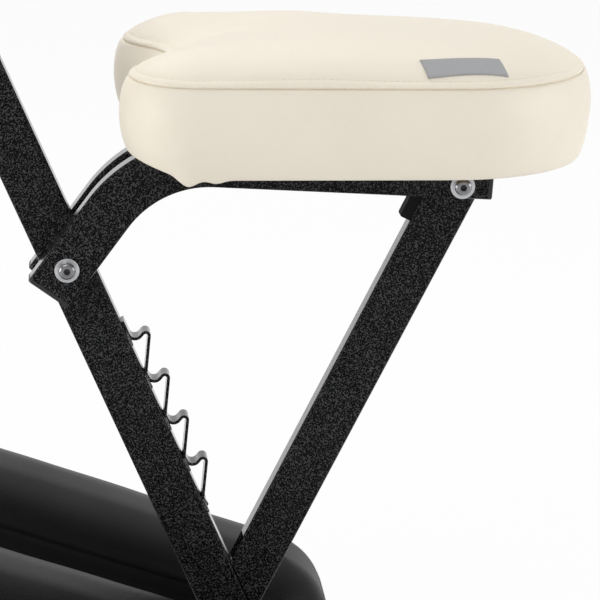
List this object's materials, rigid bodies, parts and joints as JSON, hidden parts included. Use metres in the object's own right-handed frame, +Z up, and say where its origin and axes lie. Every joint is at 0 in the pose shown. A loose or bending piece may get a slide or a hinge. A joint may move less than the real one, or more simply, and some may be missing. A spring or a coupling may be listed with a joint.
{
  "type": "folding massage chair",
  "caption": "Kneeling massage chair on a folding steel frame, with a padded tilting seat held by a strut in a toothed rack, and pads for knees, chest, arms and face.",
  "frame": {"origin": "middle of the overall box, on the floor", "axes": "+Z up, +X to the rear of the chair, where the sitter's back is, +Y to the sitter's right"},
  "size_m": [0.8909, 0.508, 1.3427],
  "materials": {
    "cream_leather": "smooth soft synthetic leather",
    "black_leather": "fine grained black vinyl",
    "black_paint": "black hammered powder coat",
    "black_plastic": "moulded, matt",
    "zinc_steel": "bright zinc plated",
    "black_rubber": "matt",
    "plywood": "sealed birch"
  },
  "bodies": {
    "frame": {"main_post": "black_paint", "seat_rack": "black_paint", "strut_catch": "black_paint", "rear_skid": "black_paint", "skid_plug": "black_plastic", "rear_foot_tube": "black_paint", "rear_foot_caps": "black_rubber", "leg_hinge_cheeks": "black_paint", "knee_hinge_cheeks": "black_paint", "armrest_cheeks": "black_paint", "leg_pivot_bolt": "zinc_steel", "seat_pivot_bolt": "zinc_steel", "mast_bush": "black_plastic", "armrest_nut": "zinc_steel"},
    "front_leg": {"front_leg_tube": "black_paint", "front_leg_plug": "black_plastic", "knee_rest_bar": "black_paint", "front_foot_tube": "black_paint", "front_foot_caps": "black_rubber"},
    "knee_rest": {"knee_rails": "black_paint", "knee_cross_tube": "black_paint", "knee_rail_plugs": "black_plastic", "knee_hooks": "black_paint", "knee_boards": "plywood", "knee_pad_left": "black_leather", "knee_pad_right": "black_leather", "knee_screws": "zinc_steel"},
    "seat": {"seat_arm_left": "black_paint", "seat_arm_right": "black_paint", "seat_arm_plugs": "black_plastic", "seat_board": "plywood", "seat_pad": "cream_leather", "seat_bolts": "zinc_steel", "strut_pivot_bolt": "zinc_steel"},
    "strut": {"strut_tube": "black_paint", "strut_pin": "black_paint", "strut_buffer": "black_rubber"},
    "chest": {"chest_sleeve": "black_paint", "chest_plate": "black_paint", "chest_board": "plywood", "chest_pad": "cream_leather", "chest_screws": "zinc_steel"},
    "chest_clamp": {"chest_knob": "black_plastic"},
    "mast": {"head_mast": "black_paint", "mast_plug": "black_plastic"},
    "mast_clamp": {"mast_knob": "black_plastic"},
    "cradle": {"cradle_bracket": "black_paint", "cradle_board": "plywood", "cradle_pad": "cream_leather", "cradle_screws": "zinc_steel", "cradle_nut": "zinc_steel"},
    "cradle_clamp": {"cradle_knob": "black_plastic"},
    "armrest": {"armrest_arm": "black_paint", "armrest_plug": "black_plastic", "armrest_plate": "black_paint", "armrest_board": "plywood", "armrest_pad": "cream_leather", "armrest_screws": "zinc_steel"},
    "armrest_clamp": {"armrest_knob": "black_plastic"}
  },
  "joints": [
    {"name": "leg_fold", "type": "hinge", "parent": "frame", "child": "front_leg", "pos_m": [-0.13034, 0, 0.61494], "axis": [0, -1, 0], "range_deg": [0, 44.9]},
    {"name": "knee_rest_fold", "type": "hinge", "parent": "frame", "child": "knee_rest", "pos_m": [0.13919, 0, 0.06094], "axis": [0, 1, 0], "range_deg": [0, 47.16]},
    {"name": "seat_tilt", "type": "hinge", "parent": "frame", "child": "seat", "pos_m": [0.0242, 0, 0.43], "axis": [0, -1, 0], "range_deg": [0, 30]},
    {"name": "strut_swing", "type": "hinge", "parent": "seat", "child": "strut", "pos_m": [0.34445, 0, 0.49186], "axis": [0, 1, 0], "range_deg": [0, 24.61]},
    {"name": "chest_slide", "type": "slide", "parent": "frame", "child": "chest", "axis": [-0.3827, 0, 0.9239], "range_m": [0, 0.05]},
    {"name": "chest_knob_turn", "type": "hinge", "parent": "chest", "child": "chest_clamp", "pos_m": [-0.1719, 0, 0.82503], "axis": [-0.9239, 0, -0.3827], "range_deg": [-180, 180]},
    {"name": "mast_slide", "type": "slide", "parent": "frame", "child": "mast", "axis": [-0.3827, 0, 0.9239], "range_m": [0, 0.06]},
    {"name": "mast_knob_turn", "type": "hinge", "parent": "frame", "child": "mast_clamp", "pos_m": [-0.22356, 0, 0.94975], "axis": [-0.9239, 0, -0.3827], "range_deg": [-180, 180]},
    {"name": "cradle_tilt", "type": "hinge", "parent": "mast", "child": "cradle", "pos_m": [-0.24942, 0, 1.09057], "axis": [0, 1, 0], "range_deg": [-25, 25]},
    {"name": "cradle_knob_turn", "type": "hinge", "parent": "cradle", "child": "cradle_clamp", "pos_m": [-0.24942, -0.02, 1.09057], "axis": [0, -1, 0], "range_deg": [-180, 180]},
    {"name": "armrest_tilt", "type": "hinge", "parent": "frame", "child": "armrest", "pos_m": [-0.14366, 0, 0.71766], "axis": [0, 1, 0], "range_deg": [-20, 20]},
    {"name": "armrest_knob_turn", "type": "hinge", "parent": "frame", "child": "armrest_clamp", "pos_m": [-0.14366, -0.025, 0.71766], "axis": [0, -1, 0], "range_deg": [-180, 180]}
  ],
  "couplings": [
    {"joint": "knee_rest_fold", "follows": "leg_fold", "ratio": 1.05},
    {"joint": "strut_swing", "follows": "seat_tilt", "ratio": 0.82}
  ]
}
